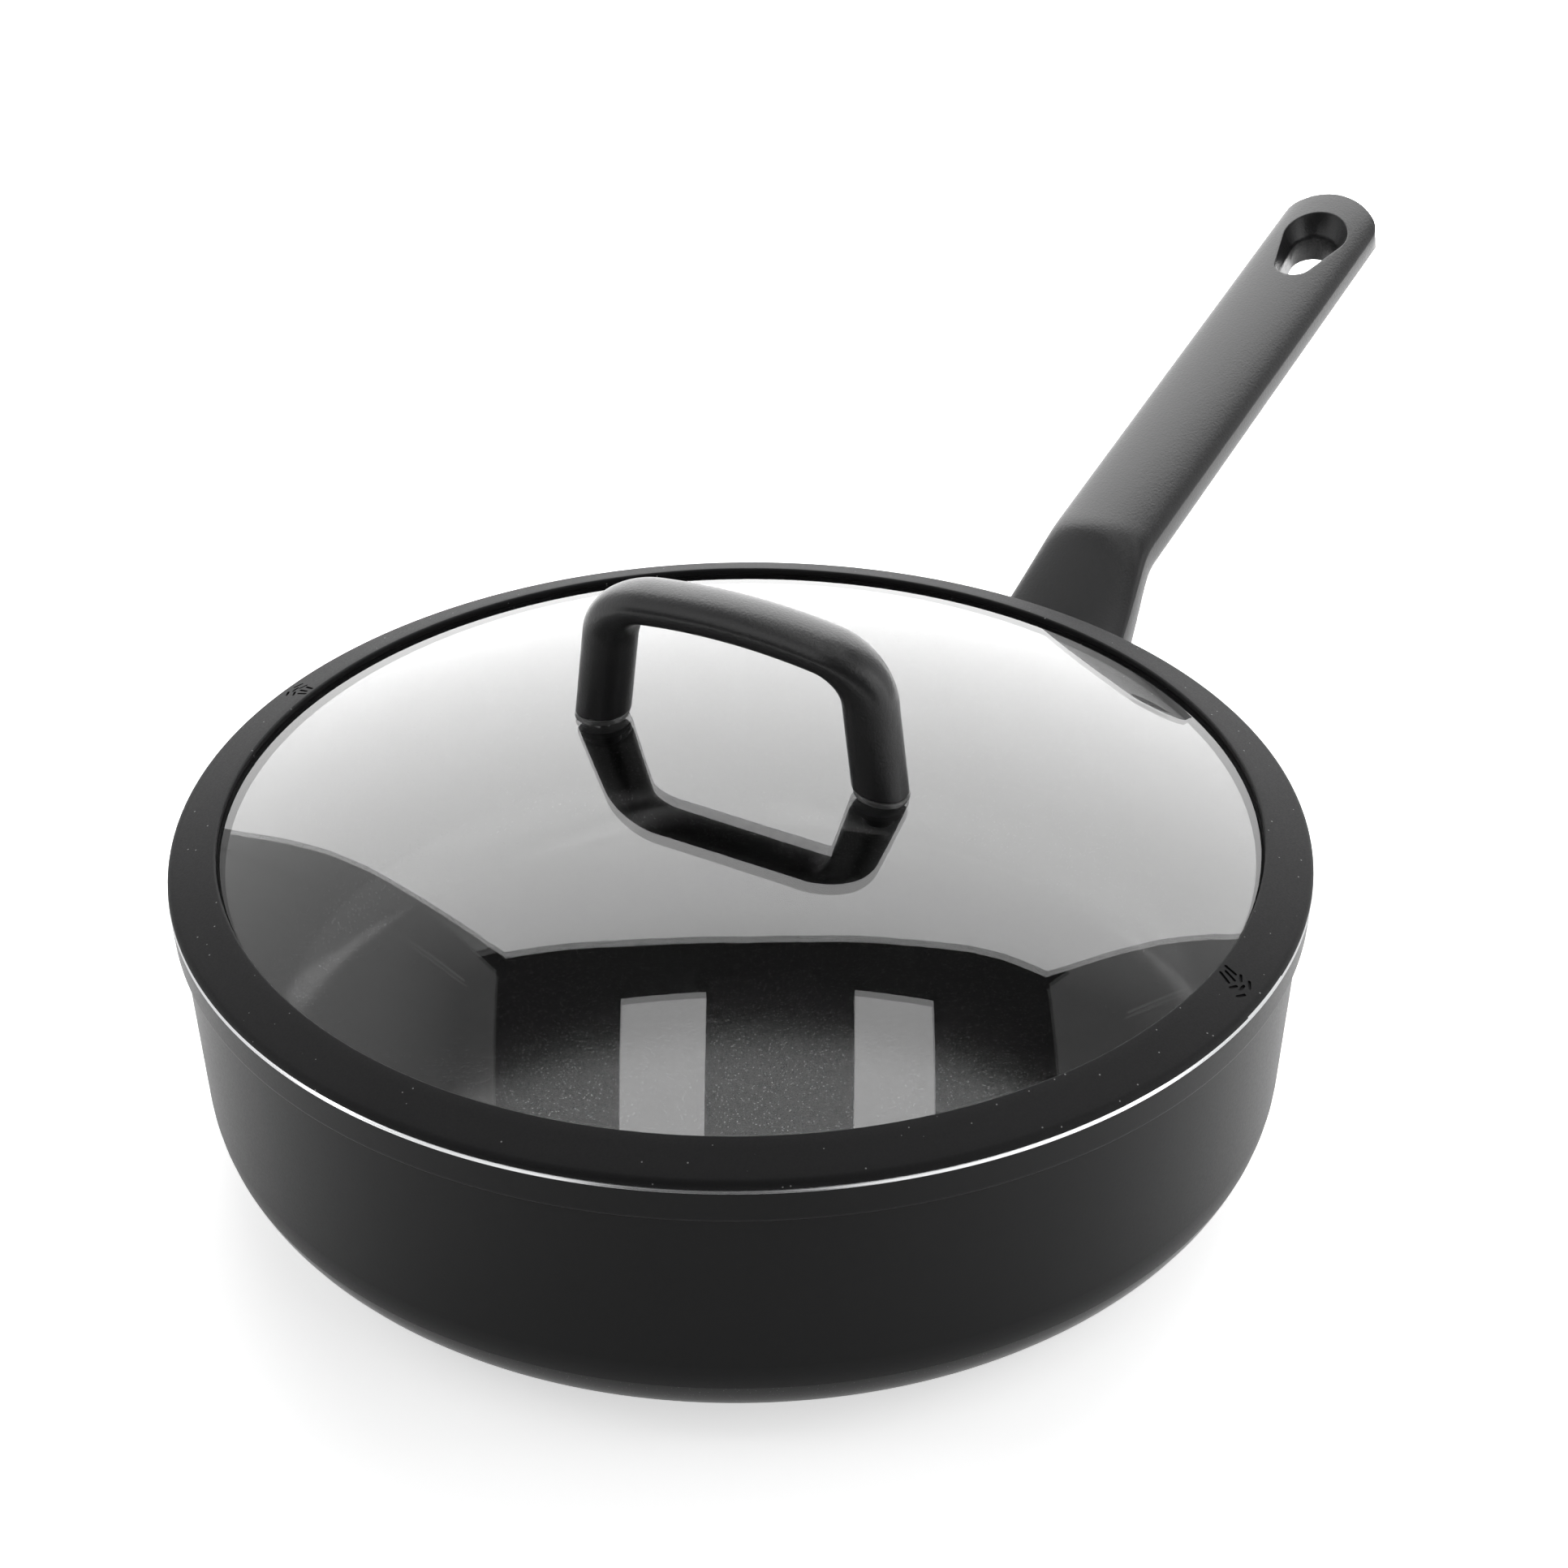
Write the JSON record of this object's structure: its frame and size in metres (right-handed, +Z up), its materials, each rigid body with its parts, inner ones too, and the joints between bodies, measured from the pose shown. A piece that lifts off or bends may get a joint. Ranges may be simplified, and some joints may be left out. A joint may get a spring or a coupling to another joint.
{
  "type": "saute pan",
  "caption": "Round saute pan with an upswept handle and a domed glass lid in a silicone rim with drain notches and a loop handle.",
  "frame": {"origin": "centre of the base's underside, on the surface that the pan stands on", "axes": "+Z up, +X from the pan's axis out along the long handle"},
  "size_m": [0.4865, 0.287, 0.1497],
  "materials": {
    "pan_coating": "matt black non-stick coating, with a bright bevel on the rim",
    "plate_steel": "turned",
    "boss_aluminium": "plain",
    "handle_plastic": "fine matt texture",
    "screw_steel": "plain",
    "lid_glass": "clear toughened glass",
    "silicone": "matt black silicone",
    "clear_gasket": "clear, glossy",
    "insert_brass": "knurled"
  },
  "bodies": {
    "pan": {"pan_body": "pan_coating", "induction_plate": "plate_steel", "handle_boss": "boss_aluminium", "handle": "handle_plastic", "handle_screw": "screw_steel", "handle_washer": "screw_steel"},
    "lid": {"lid_glass": "lid_glass", "silicone_rim": "silicone", "lid_handle": "handle_plastic", "left_gasket": "clear_gasket", "right_gasket": "clear_gasket", "left_insert": "insert_brass", "right_insert": "insert_brass", "left_lid_screw": "screw_steel", "right_lid_screw": "screw_steel", "left_washer": "screw_steel", "right_washer": "screw_steel", "left_seal": "silicone", "right_seal": "silicone"}
  },
  "joints": [
    {"name": "lid_lift", "type": "slide", "parent": "pan", "child": "lid", "axis": [0, 0, 1], "range_m": [0, 0.08]}
  ]
}
